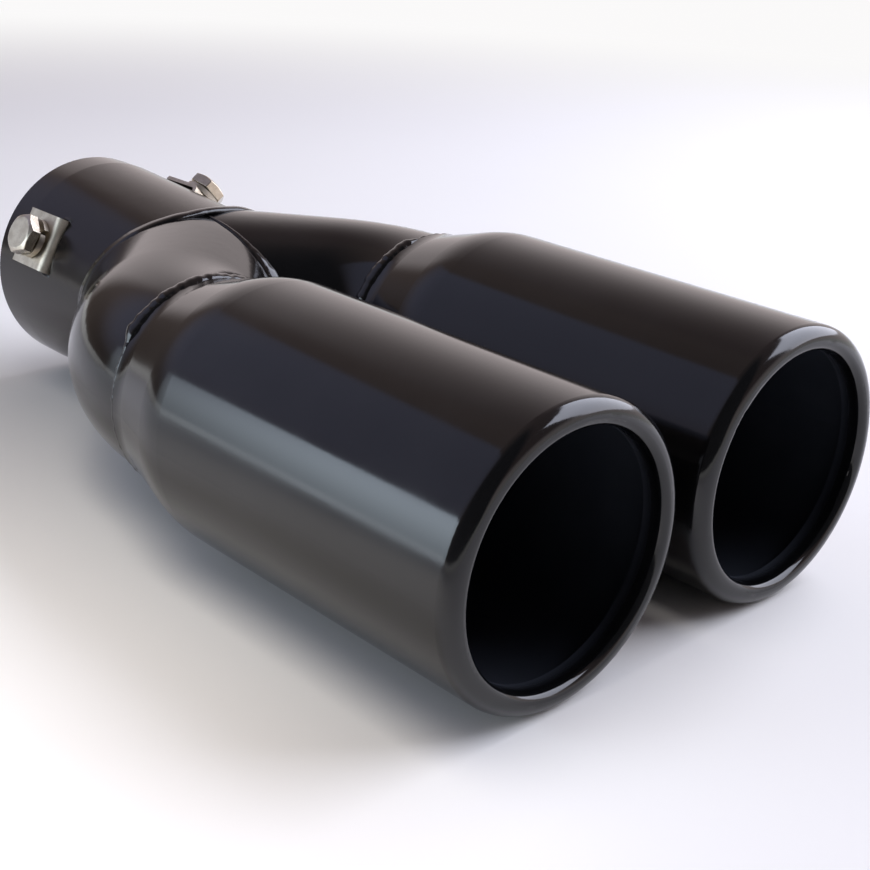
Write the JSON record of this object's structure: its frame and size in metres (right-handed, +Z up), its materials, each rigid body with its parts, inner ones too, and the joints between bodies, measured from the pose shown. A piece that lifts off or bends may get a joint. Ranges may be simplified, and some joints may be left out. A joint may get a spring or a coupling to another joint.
{
  "type": "exhaust tip",
  "caption": "Gloss black exhaust tip with a clamp-on round inlet, a welded Y of bent pipes and straight outlet cans with rolled-in lips; set bolts in sheet clips hold it on a tailpipe.",
  "frame": {"origin": "centre of the inlet's mouth, on the inlet's axis", "axes": "+X from the inlet's mouth to the outlets, +Z up with the clips on the upper side, +Y to the right-hand can"},
  "size_m": [0.2862, 0.1682, 0.08],
  "materials": {
    "black_coating": "gloss black coating on steel tube",
    "coated_weld": "weld bead under the same gloss black coating",
    "zinc_steel": "plain zinc-plated steel, satin"
  },
  "bodies": {
    "root": {"inlet_pipe": "black_coating", "inlet_weld": "coated_weld", "crotch_weld": "coated_weld", "branch_pipe_left": "black_coating", "branch_pipe_right": "black_coating", "outlet_can_left": "black_coating", "outlet_can_right": "black_coating", "neck_weld_left": "coated_weld", "neck_weld_right": "coated_weld", "clip_nut_left": "zinc_steel", "clip_nut_right": "zinc_steel", "spring_washer_left": "zinc_steel", "spring_washer_right": "zinc_steel", "set_bolt_left": "zinc_steel", "set_bolt_right": "zinc_steel"}
  },
  "joints": []
}
